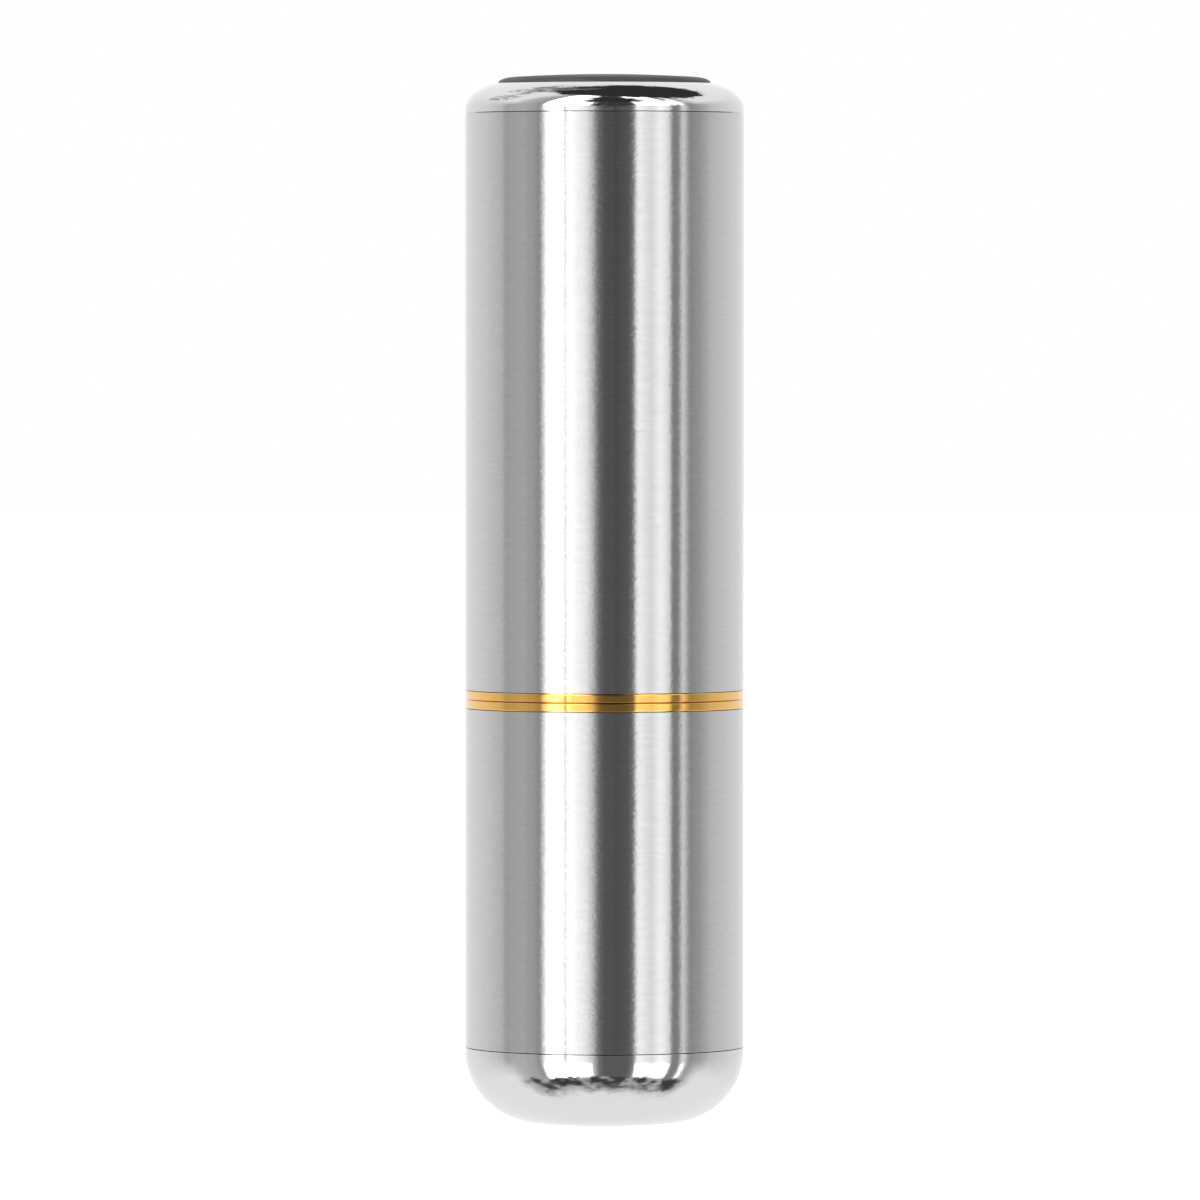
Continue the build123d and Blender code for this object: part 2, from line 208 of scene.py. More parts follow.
def makeWorld():
    s = studio
    world = bpy.data.worlds.new('studioWorld')
    scene.world = world
    world.use_nodes = True
    tree = world.node_tree
    tree.nodes.clear()
    direction = addNode(tree, 'ShaderNodeTexCoord').outputs['Generated']
    x, y, z = axes(tree, direction)

    front = times(tree, y, -1.0)
    azimuth = mathNode(tree, 'ARCTAN2', x, front)
    position = mathNode(tree, 'MULTIPLY_ADD', azimuth, 1 / (2 * math.pi))
    position.node.inputs[2].default_value = 0.5
    cards = addNode(tree, 'ShaderNodeValToRGB')
    tree.links.new(position, cards.inputs[0])
    stops = cards.color_ramp.elements
    for i, (degrees, tone) in enumerate(s['cards']):
        place = degrees / 360 + 0.5
        stop = stops[i] if i < 2 else stops.new(place)
        stop.position = place
        stop.color = (tone, tone, tone, 1)

    weave = addNode(tree, 'ShaderNodeTexNoise', noise_dimensions='1D')
    tree.links.new(times(tree, azimuth, 14.0), weave.inputs['W'])
    uneven = mapped(tree, weave.outputs['Fac'], 0.3, 0.7, 1 - s['fabric'], 1 + s['fabric'])
    tone = times(tree, cards.outputs[0], uneven)

    drape = noiseNode(tree, direction, 9.0, 4.0, 0.7)
    wave = times(tree, minus(tree, drape, 0.5), s['ragged'])

    wavyHeight = plus(tree, z, wave)
    degreesUp = times(tree, mathNode(tree, 'ARCSINE', wavyHeight), 180 / math.pi)
    aside = times(tree, mathNode(tree, 'ABSOLUTE', azimuth), 180 / math.pi)
    atSide = mapped(tree, aside, s['sideFrom'], s['sideTo'])
    inFront = mapped(tree, atSide, 0.5, 0.0)
    softbox = times(tree, mapped(tree, tone, 0.6, 0.9), inFront)
    away = mapped(tree, mathNode(tree, 'ABSOLUTE', degreesUp), *s['hotFrom'])
    gain = mapped(tree, times(tree, softbox, away), 0, 1, 1, 1 + s['hot'])
    tone = times(tree, tone, gain)
    highUp = times(tree, mapped(tree, degreesUp, 15, 35), atSide)
    tone = mixTone(tree, highUp, tone, s['skyTone'])
    underCards = mapped(tree, degreesUp, s['cardBottom'] + 2, s['cardBottom'] - 2)
    onGround = mapped(tree, degreesUp, *s['groundFrom'])
    gap = mapped(tree, noiseNode(tree, direction, 5.0, 2.0, 0.5), 0.45, 0.62, *s['gapTone'])
    below = mixTone(tree, onGround, gap, s['groundTone'])
    sideGround = times(tree, mapped(tree, degreesUp, -5, -30), atSide)
    tone = mixTone(tree, underCards, tone, below)
    tone = mixTone(tree, sideGround, tone, s['groundTone'])

    for spotAzimuth, elevation, radius, spotTone in s['spots']:
        a, e = math.radians(spotAzimuth), math.radians(elevation)
        facing = addNode(tree, 'ShaderNodeVectorMath', operation='DOT_PRODUCT')
        tree.links.new(direction, facing.inputs[0])
        facing.inputs[1].default_value = (math.sin(a) * math.cos(e), -math.cos(a) * math.cos(e), math.sin(e))
        near = plus(tree, facing.outputs['Value'], wave)
        edge = math.cos(math.radians(radius))
        tone = mixTone(tree, mapped(tree, near, edge - 0.02, edge + 0.02), tone, spotTone)

    seen = addNode(tree, 'ShaderNodeLightPath').outputs['Is Camera Ray']
    tone = mixTone(tree, seen, tone, s['backdrop'])
    background = addNode(tree, 'ShaderNodeBackground')
    tree.links.new(tone, background.inputs['Color'])
    output = addNode(tree, 'ShaderNodeOutputWorld')
    tree.links.new(background.outputs[0], output.inputs[0])
    print('studio made')


makeWorld()

floorSettings = {'size': 6.0, 'drop': 0.02 * mm, 'tone': 0.9, 'lift': 0.68}


def makeFloor():
    s = floorSettings
    bpy.ops.mesh.primitive_plane_add(size=s['size'], location=(0, 0, -s['drop']))
    floor = bpy.context.object
    floor.name = 'floor'
    floor.visible_glossy = False
    mat = bpy.data.materials.new('paleFloor')
    mat.use_nodes = True
    shader = mat.node_tree.nodes['Principled BSDF']
    shader.inputs['Base Color'].default_value = (s['tone'], s['tone'], s['tone'], 1)
    shader.inputs['Roughness'].default_value = 0.9
    shader.inputs['Emission Color'].default_value = (1, 1, 1, 1)
    shader.inputs['Emission Strength'].default_value = s['lift']
    floor.data.materials.append(mat)
    deselect()


makeFloor()


def newGroup(name, inputs, outputs):
    tree = bpy.data.node_groups.new(name, 'ShaderNodeTree')
    for label, value in inputs.items():
        socket = tree.interface.new_socket(name=label, in_out='INPUT', socket_type='NodeSocketFloat')
        socket.default_value = value
    for label in outputs:
        tree.interface.new_socket(name=label, in_out='OUTPUT', socket_type='NodeSocketFloat')
    return tree, tree.nodes.new('NodeGroupInput').outputs, tree.nodes.new('NodeGroupOutput').inputs


def stretched(tree, scale, turn=(0, 0, 0)):
    # object coordinates in millimetres, stretched along some axes
    place = addNode(tree, 'ShaderNodeTexCoord').outputs['Object']
    mapping = addNode(tree, 'ShaderNodeMapping')
    tree.links.new(place, mapping.inputs['Vector'])
    mapping.inputs['Rotation'].default_value = [math.radians(a) for a in turn]
    mapping.inputs['Scale'].default_value = [a / mm for a in scale]
    return mapping.outputs['Vector']


def makeTurningMarks():
    # fine lines round the axis, as a lathe tool or a brushing belt leaves them
    tree, given, made = newGroup('turningMarks', {'Fineness': 6.0, 'Depth': 1.0}, ('Height', 'Tone'))
    coarse = noiseNode(tree, stretched(tree, (0.12, 0.12, 0.7)), given['Fineness'], 4.0, 0.7)
    fine = noiseNode(tree, stretched(tree, (0.35, 0.35, 3.1)), given['Fineness'], 3.0, 0.75)
    both = plus(tree, times(tree, coarse, 0.6), times(tree, fine, 0.4))
    tree.links.new(times(tree, both, given['Depth']), made['Height'])
    tree.links.new(both, made['Tone'])
    return tree


def makeScratches():
    # rare long hairlines that run nearly round the axis, and a slow haze as from handling
    tree, given, made = newGroup('scratches', {'Amount': 0.5}, ('Lines', 'Haze'))
    edge = minus(tree, 0.80, times(tree, given['Amount'], 0.12))
    total = None
    for lean in ((4, 1, 0), (-3, -2, 40)):
        streak = noiseNode(tree, stretched(tree, (0.10, 0.10, 6.0), lean), 1.0, 2.0, 0.4)
        over = minus(tree, streak, edge)
        line = mathNode(tree, 'MULTIPLY', over, 14.0, clamp=True)
        total = line if total is None else larger(tree, total, line)
    tree.links.new(total, made['Lines'])
    tree.links.new(noiseNode(tree, stretched(tree, (0.16, 0.16, 0.10)), 1.0, 4.0, 0.6), made['Haze'])
    return tree


def makeMouldedGrain():
    # the fine spark-eroded grain of a mould, with a slow change of tone
    tree, given, made = newGroup('mouldedGrain', {'Grain': 9.0, 'Depth': 1.0}, ('Height', 'Tone'))
    fine = noiseNode(tree, stretched(tree, (1, 1, 1)), given['Grain'], 3.0, 0.6)
    tree.links.new(times(tree, fine, given['Depth']), made['Height'])
    slow = noiseNode(tree, stretched(tree, (0.3, 0.3, 0.3)), 1.0, 4.0, 0.6)
    both = plus(tree, times(tree, fine, 0.4), times(tree, slow, 0.6))
    tree.links.new(both, made['Tone'])
    return tree


turningMarks = makeTurningMarks()
scratches = makeScratches()
mouldedGrain = makeMouldedGrain()


def placeGroup(tree, group, **values):
    node = tree.nodes.new('ShaderNodeGroup')
    node.node_tree = group
    for label, value in values.items():
        node.inputs[label].default_value = value
    return node.outputs


def newMaterial(name, **fixed):
    mat = bpy.data.materials.new(name)
    mat.use_nodes = True
    tree = mat.node_tree
    shader = tree.nodes['Principled BSDF']
    for label, value in fixed.items():
        shader.inputs[label.replace('_', ' ')].default_value = value
    return mat, tree, shader


def tones(tree, factor, shader, dark, light, low=0.3, high=0.7):
    ramp = addNode(tree, 'ShaderNodeValToRGB')
    tree.links.new(factor, ramp.inputs[0])
    for stop, place, colour in zip(ramp.color_ramp.elements, (low, high), (dark, light)):
        stop.position = place
        stop.color = (*colour, 1)
    tree.links.new(ramp.outputs[0], shader.inputs['Base Color'])
    return ramp.outputs[0]


def roughnessRange(tree, factor, shader, low, high):
    tree.links.new(mapped(tree, factor, 0.3, 0.7, low, high, 'LINEAR'), shader.inputs['Roughness'])


def raised(tree, height, shader, distance, strength=1.0):
    # distance is the height of the relief in millimetres
    bump = addNode(tree, 'ShaderNodeBump')
    tree.links.new(height, bump.inputs['Height'])
    bump.inputs['Distance'].default_value = distance * mm
    bump.inputs['Strength'].default_value = strength
    tree.links.new(bump.outputs['Normal'], shader.inputs['Normal'])


def within(tree, value, centre, half):
    # 1 where the value is within half of the centre, with a fine edge
    away = mathNode(tree, 'ABSOLUTE', minus(tree, value, centre))
    return mapped(tree, away, half + 0.02, half - 0.02)


def mixColour(tree, factor, a, b, shader):
    node = addNode(tree, 'ShaderNodeMix', data_type='RGBA')
    tree.links.new(factor, node.inputs[0])
    tree.links.new(a, node.inputs[6])
    node.inputs[7].default_value = (*b, 1)
    tree.links.new(node.outputs[2], shader.inputs['Base Color'])


# painted shade inside the two seams: how far it reaches along the axis, where it starts and ends inwards
# from the barrel, and its dark tone
seamShade = {'reach': 0.15, 'from': 0.03, 'to': 0.08, 'tone': (0.012, 0.012, 0.012)}


def paintSeamShade(tree, clean, shader):
    # painted shade: the end faces inside the two seams are painted near black, for the shade that falls in
    # the gaps between the caps and the sleeves
    s = seamShade
    radius = addNode(tree, 'ShaderNodeVectorMath', operation='LENGTH')
    tree.links.new(stretched(tree, (1, 1, 0)), radius.inputs[0])
    deep = mapped(tree, radius.outputs['Value'], barrel - s['from'], barrel - s['to'])
    z = axes(tree, stretched(tree, (1, 1, 1)))[2]
    near = larger(tree, within(tree, z, lowSeam, s['reach']), within(tree, z, topSeam, s['reach']))
    mixColour(tree, times(tree, deep, near), clean, s['tone'], shader)


# painted shade and painted reflection on the gold ring: the half width of each line and its dark orange
# colour
ringShadeLines = {'half': 0.055, 'tone': (0.56, 0.22, 0.02)}


def paintRingShade(tree, clean, shader):
    # painted shade and painted reflection: darker orange lines along the ring's two edges, for the shade in
    # the gaps beside it, and in its groove, for the light bounced twice between its walls
    s = ringShadeLines
    z = axes(tree, stretched(tree, (1, 1, 1)))[2]
    edges = larger(tree, within(tree, z, ringBottom, s['half']), within(tree, z, ringTop, s['half']))
    groove = within(tree, z, (ringBottom + ringTop) / 2, s['half'])
    mixColour(tree, larger(tree, edges, groove), clean, s['tone'], shader)


def turnedFinish(
        name, dark, light, rough, relief, fineness, scratchAmount=0.4, grain=0.0, paintedRingShade=False, **fixed):
    # bare metal from a lathe or a belt: tone, roughness and relief all follow the turning lines, and the
    # tone can also carry painted shade in the seams and painted shade and reflection on the ring
    mat, tree, shader = newMaterial(name, Metallic=1.0, **fixed)
    marks = placeGroup(tree, turningMarks, Fineness=fineness)
    worn = placeGroup(tree, scratches, Amount=scratchAmount)
    metal = tones(tree, marks['Tone'], shader, dark, light)
    blend = plus(tree, times(tree, marks['Tone'], 0.5), times(tree, worn['Haze'], 0.5))
    roughnessRange(tree, blend, shader, *rough)
    cut = minus(tree, marks['Height'], times(tree, worn['Lines'], 0.6))
    if grain:
        # short flecks that break up the edges of what the metal reflects
        flecks = noiseNode(tree, stretched(tree, (1.7, 1.7, 4.2)), 1.0, 3.0, 0.65)
        cut = plus(tree, cut, times(tree, flecks, grain / relief))
        # painted shade on the end faces inside the seams
        paintSeamShade(tree, metal, shader)
    if paintedRingShade:
        # painted shade at the ring's edges and painted reflection in its groove
        paintRingShade(tree, metal, shader)
    raised(tree, cut, shader, relief)
    return mat


def mouldedFinish(name, dark, light, rough, relief, grain, **fixed):
    mat, tree, shader = newMaterial(name, **fixed)
    skin = placeGroup(tree, mouldedGrain, Grain=grain)
    tones(tree, skin['Tone'], shader, dark, light)
    roughnessRange(tree, skin['Tone'], shader, *rough)
    raised(tree, skin['Height'], shader, relief)
    return mat


def grey(tone):
    return (tone, tone, tone * 1.01)


wrapPrint = {
    'ground': (0.012, 0.030, 0.075), 'groundWorn': (0.018, 0.042, 0.10), 'ink': (0.62, 0.64, 0.66),
    'bandTop': 49.0, 'lines': ((50.2, 0.25), (66.6, 0.35)), 'plusAt': 53.6, 'minusAt': 62.6,
    'mark': 1.15, 'stroke': 0.26,
}


def printedWrap():
    # a dark shrink sleeve with a pale band, two fine lines and the marks of its poles
    s = wrapPrint
    mat, tree, shader = newMaterial('printedWrap', Coat_Weight=0.4, Coat_Roughness=0.08)
    x, y, z = axes(tree, stretched(tree, (1, 1, 1)))
    inFront = mapped(tree, y, 0.0, -1.0)
    bar = times(tree, within(tree, x, 0, s['mark']), within(tree, z, s['plusAt'], s['stroke']))
    post = times(tree, within(tree, x, 0, s['stroke']), within(tree, z, s['plusAt'], s['mark']))
    dash = times(tree, within(tree, x, 0, s['mark']), within(tree, z, s['minusAt'], s['stroke']))
    ink = times(tree, larger(tree, larger(tree, bar, post), dash), inFront)
    for place, half in s['lines']:
        ink = larger(tree, ink, within(tree, z, place, half))
    ink = larger(tree, ink, mapped(tree, z, s['bandTop'] + 0.02, s['bandTop'] - 0.02))
    skin = placeGroup(tree, mouldedGrain, Grain=2.0)
    ramp = tones(tree, skin['Tone'], shader, s['ground'], s['groundWorn'])
    mixColour(tree, ink, ramp, s['ink'], shader)
    roughnessRange(tree, skin['Tone'], shader, 0.20, 0.30)
    raised(tree, skin['Height'], shader, 0.0004)
    return mat


finishes = {
    'brushed_metal': turnedFinish(
        'brushedSleeve', grey(0.62), grey(0.68), (0.10, 0.15), 0.0007, 5.0, 0.5, 0.0080,
        Anisotropic=0.95, Anisotropic_Rotation=0.25),
    'polished_metal': turnedFinish(
        'polishedCap', grey(0.72), grey(0.76), (0.03, 0.07), 0.0003, 4.0, 0.3, 0.0045),
    # the gold ring carries painted shade at its edges and painted reflection in its groove
    'gold_ring': turnedFinish(
        'goldPlate', (0.98, 0.52, 0.08), (0.98, 0.59, 0.13), (0.03, 0.07), 0.0003, 6.0, 0.3, paintedRingShade=True,
        Coat_Weight=0.6, Coat_Roughness=0.03, Coat_IOR=1.9),
    'magnet': mouldedFinish('ferrite', grey(0.045), grey(0.07), (0.50, 0.66), 0.0030, 8.0, Metallic=0.3),
    'cell_wrap': printedWrap(),
}

# each with its name, dark and light tones, roughness, relief in millimetres and fineness
turnedLooks = {
    'turned_metal': ('threadMetal', grey(0.62), grey(0.74), (0.20, 0.34), 0.0012, 7.0),
    'plated_steel': ('nickelPlate', (0.62, 0.60, 0.56), (0.72, 0.70, 0.66), (0.16, 0.30), 0.0008, 5.0),
    'bronze': ('sinteredBronze', (0.46, 0.30, 0.14), (0.60, 0.42, 0.22), (0.36, 0.55), 0.0030, 9.0),
    'heavy_metal': ('sinteredWeight', grey(0.28), grey(0.38), (0.36, 0.52), 0.0030, 4.0),
    'gold_contact': ('goldFlash', (0.90, 0.62, 0.26), (0.98, 0.72, 0.34), (0.14, 0.24), 0.0008, 6.0),
    'copper': ('enamelledCopper', (0.62, 0.22, 0.08), (0.78, 0.34, 0.14), (0.20, 0.32), 0.0008, 6.0),
}
mouldedLooks = {
    'black_rubber': ('blackRubber', grey(0.045), grey(0.070), (0.46, 0.60), 0.0022, 7.0),
    'black_plastic': ('blackPlastic', grey(0.018), grey(0.030), (0.34, 0.46), 0.0016, 6.0),
    'white_plastic': ('ivoryPlastic', (0.66, 0.64, 0.58), (0.74, 0.72, 0.66), (0.34, 0.46), 0.0018, 5.0),
    'board_green': ('solderMask', (0.010, 0.09, 0.035), (0.018, 0.13, 0.05), (0.26, 0.36), 0.0022, 4.0),
    'lead_sheath': ('leadSheath', (0.42, 0.015, 0.012), (0.52, 0.03, 0.02), (0.34, 0.44), 0.0012, 5.0),
    'part_ceramic': ('ceramicPart', (0.30, 0.22, 0.14), (0.40, 0.30, 0.20), (0.40, 0.52), 0.0016, 8.0),
}
for slot, look in turnedLooks.items():
    finishes[slot] = turnedFinish(*look)
for slot, look in mouldedLooks.items():
    finishes[slot] = mouldedFinish(*look)
print('finishes made:', len(finishes))

slotOf = {entry['node']: entry['material_slot'] for entry in frame['record']['subparts']}


def dressNodes():
    for name, node in frame['nodes'].items():
        node.data.materials.clear()
        node.data.materials.append(finishes[slotOf[name]])


dressNodes()

roundness = 192    # flats round a turned piece


def arc(centre, across, high, fromAngle, toAngle, steps):
    points = []
    for i in range(steps + 1):
        a = math.radians(fromAngle + (toAngle - fromAngle) * i / steps)
        points.append((centre[0] + across * math.cos(a), centre[1] + high * math.sin(a)))
    return points


def softened(outline, steps=3):
    # rounds each corner that gives a third value, its radius, with a guard point before and after
    points = []
    for i, corner in enumerate(outline):
        here = Vector(corner[:2])
        if len(corner) < 3:
            points.append(here)
            continue
        before = (Vector(outline[i - 1][:2]) - here).normalized()
        after = (Vector(outline[(i + 1) % len(outline)][:2]) - here).normalized()
        half = before.angle(after) / 2
        run = corner[2] / math.tan(half)
        centre = here + (before + after).normalized() * corner[2] / math.sin(half)
        start, end = here + before * run - centre, here + after * run - centre
        points.append(here + before * run * 2)
        for k in range(steps + 1):
            points.append(centre + start.slerp(end, k / steps) * corner[2])
        points.append(here + after * run * 2)
    return points


def band(inner, outer, low, high, innerSoft, outerSoft):
    return softened([
        (inner, low, innerSoft), (outer, low, outerSoft),
        (outer, high, outerSoft), (inner, high, innerSoft)])


def groove(face, s, soft, upwards=True):
    # the four corners of a seal's groove
    low, high = ('sealLow', 'sealHigh') if upwards else ('sealHigh', 'sealLow')
    root = s['sealRoot']
    return [(face, s[low], soft), (root, s[low], soft), (root, s[high], soft), (face, s[high], soft)]


def disc(radius, low, high, lowSoft, highSoft):
    return softened([(0, low), (radius, low, lowSoft), (radius, high, highSoft), (0, high)])


def turn(name, outline, finish):
    # one ring at the first point, then extruded and scaled ring by ring: radius and height in mm
    hollow = outline[0][0] > 0
    points = [(max(r, 0.0004), z) for r, z in outline]
    radius, height = points[0]
    bpy.ops.mesh.primitive_circle_add(
        vertices=roundness, radius=radius * mm, location=(0, 0, height * mm), enter_editmode=True)
    bpy.ops.mesh.select_all(action='SELECT')
    for r, z in points[1:] + (points[:1] if hollow else []):
        bpy.ops.mesh.extrude_edges_move(TRANSFORM_OT_translate={'value': (0, 0, (z - height) * mm)})
        grow = r / radius
        bpy.ops.transform.resize(value=(grow, grow, 1), center_override=(0, 0, z * mm))
        radius, height = r, z
    bpy.ops.mesh.select_all(action='SELECT')
    bpy.ops.mesh.remove_doubles(threshold=0.002 * mm)
    bpy.ops.mesh.normals_make_consistent(inside=False)
    bpy.ops.object.mode_set(mode='OBJECT')
    applyPlace()
    bpy.ops.object.shade_smooth_by_angle(angle=math.radians(32))
    piece = bpy.context.object
    piece.name = name
    piece.data.materials.append(finishes[finish])
    deselect()
    return piece


def fit(piece, finish, body, *nodes):
    # the body that the piece rides, and the designed node that it stands for
    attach(piece, body)
    if nodes:
        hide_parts(*nodes)
    return piece


def turned(name, outline, finish, body, node):
    return fit(turn(name, outline, finish), finish, body, node)


def editAll():
    bpy.ops.object.mode_set(mode='EDIT')
    bpy.ops.mesh.select_all(action='SELECT')


sleeveLook = {'seamSoft': 0.012, 'boreSoft': 0.05, 'seamSlit': 0.06, 'ringSlit': 0.015}


def makeSleeve(name, node, body, low, high):
    s = sleeveLook
    outline = band(bore, barrel, low, high, s['boreSoft'], s['seamSoft'])
    turned(name, outline, 'brushed_metal', body, node)


slit, ringSlit = sleeveLook['seamSlit'], sleeveLook['ringSlit']
makeSleeve('lowerSleeve', 'lower_sleeve', 'lower_case', lowSeam + slit, ringBottom - ringSlit)
makeSleeve('upperSleeve', 'upper_sleeve', 'upper_case', ringTop + ringSlit, topSeam - slit)

tipLook = {
    'flat': 5.3, 'floor': 1.3, 'innerFlat': 4.6, 'innerRound': 4.2, 'spigotTop': 9.9,
    'sealRoot': 9.3, 'sealLow': 7.4, 'sealHigh': 8.4, 'seamSoft': 0.012, 'soft': 0.12,
}


def makeTipCap():
    s = tipLook
    tipRound = barrel - s['flat']
    inner = s['innerFlat'] + s['innerRound']
    outline = softened([
        (0, s['floor']),
        *arc((s['innerFlat'], s['floor'] + s['innerRound']), s['innerRound'], s['innerRound'], -90, 0, 16),
        (inner, s['spigotTop'], s['soft']), (spigot, s['spigotTop'], s['soft']),
        *groove(spigot, s, 0.05, upwards=False), (spigot, lowSeam), (barrel, lowSeam, s['seamSoft']),
        *arc((s['flat'], tipRound), tipRound, tipRound, 0, -90, 40),
        (0, 0),
    ])
    turned('tipCap', outline, 'polished_metal', 'lower_case', 'tip_cap')


makeTipCap()

ringLook = {'bore': 9.58, 'edge': 0.11, 'groove': 0.16, 'depth': 0.08, 'lip': 0.04, 'soft': 0.012}


def makeGoldRing():
    # two bands with rounded edges and a V groove between them
    s = ringLook
    low, high = span('accent_ring')
    middle = (low + high) / 2
    gap, root = s['groove'] / 2, barrel - s['depth']
    outline = softened([
        (s['bore'], low, s['soft']), (barrel, low, s['edge']), (barrel, middle - gap, s['lip']),
        (root, middle, s['soft'] / 2), (barrel, middle + gap, s['lip']), (barrel, high, s['edge']),
        (s['bore'], high, s['soft']),
    ], 5)
    turned('goldRing', outline, 'gold_ring', 'ring', 'accent_ring')


makeGoldRing()

topLook = {
    'across': 4.02, 'high': 2.23, 'crown': 82.06, 'hole': 8.45, 'lip': 80.3, 'flangeBore': 9.0,
    'boardBore': 9.4, 'boardTop': 75.6, 'bottom': 73.2, 'sealRoot': 9.3, 'sealLow': 76.9,
    'sealHigh': 77.9, 'seamSoft': 0.012, 'holeSoft': 0.03,
}


def makeTopCap():
    s = topLook
    shoulder = s['crown'] - s['high']
    inset = barrel - s['across']
    stop = math.degrees(math.acos((s['hole'] + s['holeSoft'] - inset) / s['across']))
    rim = shoulder + s['high'] * math.sin(math.radians(stop))
    # the shoulder's oval stops at the button's hole, where a fine round leads in
    outline = softened([
        (spigot, topSeam), *groove(spigot, s, 0.05, upwards=False), (spigot, s['bottom'], 0.1),
        (s['boardBore'], s['bottom'], 0.1), (s['boardBore'], s['boardTop']),
        (s['flangeBore'], s['boardTop'], 0.05),
        (s['flangeBore'], s['lip'], 0.05), (s['hole'], s['lip'], 0.05), (s['hole'], rim - 0.05),
        (s['hole'] + 0.01, rim - 0.01),
        *arc((inset, shoulder), s['across'], s['high'], stop, 0, 36),
        (barrel, topSeam, s['seamSoft']),
    ])
    turned('topCap', outline, 'polished_metal', 'upper_case', 'top_cap')


makeTopCap()

buttonLook = {'across': 1.4, 'edgeLow': 81.9, 'domeRise': 0.22, 'underSoft': 0.1}


def makeButton():
    s = buttonLook
    low, high = span('button_cap')
    radius = radiusOf('button_cap')
    domeEdge = radius - s['across']
    edgeHigh = high - s['domeRise'] - s['edgeLow']
    domeRadius = (domeEdge ** 2 + s['domeRise'] ** 2) / (2 * s['domeRise'])
    reach = math.degrees(math.asin(domeEdge / domeRadius))
    outline = softened([
        (0, low), (radius, low, s['underSoft']),
        *arc((domeEdge, s['edgeLow']), s['across'], edgeHigh, 0, 90, 20),
        *arc((0, high - domeRadius), domeRadius, domeRadius, 90 - reach, 90, 16)[1:],
    ])
    turned('buttonCap', outline, 'black_rubber', 'button', 'button_cap')


makeButton()
print('outer pieces made')


def only(piece):
    deselect()
    piece.select_set(True)
    bpy.context.view_layer.objects.active = piece


def settle(name, finish):
    # the piece in hand gets its place in its mesh, its name and its finish
    piece = bpy.context.object
    applyPlace()
    bpy.ops.object.shade_smooth_by_angle(angle=math.radians(32))
    piece.name = name
    piece.data.materials.clear()
    piece.data.materials.append(finishes[finish])
    deselect()
    return piece


def settled(name, finish, body, *nodes):
    return fit(settle(name, finish), finish, body, *nodes)


def applied(piece, kind, **settings):
    only(piece)
    modifier = piece.modifiers.new(kind.lower(), kind)
    for key, value in settings.items():
        setattr(modifier, key, value)
    bpy.ops.object.modifier_apply(modifier=modifier.name)


def eased(piece, soft, segments=2):
    # every sharp edge gets a small round
    applied(piece, 'BEVEL', width=soft * mm, segments=segments, limit_method='ANGLE',
            angle_limit=math.radians(32), use_clamp_overlap=True)


def fromNode(node):
    # the designed shape, its loose faces merged and its flat faces joined up
    piece = bpy.data.objects.new(node + '_copy', frame['nodes'][node].data.copy())
    scene.collection.objects.link(piece)
    only(piece)
    editAll()
    bpy.ops.mesh.remove_doubles(threshold=0.001 * mm)
    bpy.ops.mesh.dissolve_limited(angle_limit=math.radians(0.5))
    bpy.ops.object.mode_set(mode='OBJECT')
    return piece


def box(size, at):
    bpy.ops.mesh.primitive_cube_add(size=1, location=[a * mm for a in at])
    piece = bpy.context.object
    piece.scale = [a * mm for a in size]
    applyPlace()
    return piece


def cut(piece, tools):
    for tool in tools:
        applied(piece, 'BOOLEAN', object=tool, operation='DIFFERENCE', solver='EXACT')
        bpy.data.objects.remove(tool)
    only(piece)


def drill(radius, x, y, low, high, sides=32):
    place = (x * mm, y * mm, (low + high) / 2 * mm)
    bpy.ops.mesh.primitive_cylinder_add(
        vertices=sides, radius=radius * mm, depth=(high - low) * mm, location=place)
    applyPlace()
    return bpy.context.object


def drillsRound(radius, away, angles, low, high):
    return [drill(radius, away * math.cos(a), away * math.sin(a), low, high) for a in angles]


def joined(pieces):
    deselect()
    for piece in pieces:
        piece.select_set(True)
    bpy.context.view_layer.objects.active = pieces[0]
    bpy.ops.object.join()
    return bpy.context.object


def turnedCopies(piece, count):
    # copies about the axis, joined into one piece
    pieces = [piece]
    for i in range(1, count):
        only(piece)
        bpy.ops.object.duplicate()
        twin = bpy.context.object
        twin.rotation_euler.z = 2 * math.pi * i / count
        bpy.ops.object.transform_apply(rotation=True)
        pieces.append(twin)
    return joined(pieces)


def wire(points, radius, smoothness=4, sides=2):
    # a round wire along control points in millimetres
    bpy.ops.curve.primitive_nurbs_path_add()
    piece = bpy.context.object
    curve = piece.data
    curve.splines.clear()
    line = curve.splines.new('NURBS')
    line.points.add(len(points) - 1)
    for place, point in zip(line.points, points):
        place.co = (*[a * mm for a in point], 1)
    line.order_u = 3
    line.use_endpoint_u = True
    line.resolution_u = smoothness
    curve.bevel_depth = radius * mm
    curve.bevel_resolution = sides
    curve.use_fill_caps = True
    bpy.ops.object.convert(target='MESH')
    return bpy.context.object


def blob(x, y, z, across, high):
    # a solder dome
    bpy.ops.mesh.primitive_uv_sphere_add(
        segments=20, ring_count=12, radius=1, location=(x * mm, y * mm, z * mm))
    piece = bpy.context.object
    piece.scale = (across * mm, across * mm, high * mm)
    applyPlace()
    return piece


def makeSeal(name, node, body):
    low, high = span(node)
    outer = radiusOf(node)
    section = (high - low) / 2
    outline = arc((outer - section, low + section), section, section, 0, 345, 23)
    turned(name, outline, 'black_rubber', body, node)


makeSeal('tipSeal', 'tip_seal', 'lower_case')
makeSeal('neckSeal', 'neck_seal', 'lower_case')
makeSeal('topSeal', 'top_seal', 'upper_case')

neckLook = {
    'bore': 8.3, 'seat': 9.5, 'step': 9.2, 'root': 8.95, 'crest': 9.45, 'stepAt': 36.0, 'sealRoot': 8.65,
    'sealLow': 34.5, 'sealHigh': 35.5, 'lead': 12.0, 'starts': 6, 'threadFrom': 36.6, 'threadTo': 41.2,
    'halfRoot': 0.5, 'halfCrest': 0.28, 'runOut': 9.0, 'soft': 0.06,
}


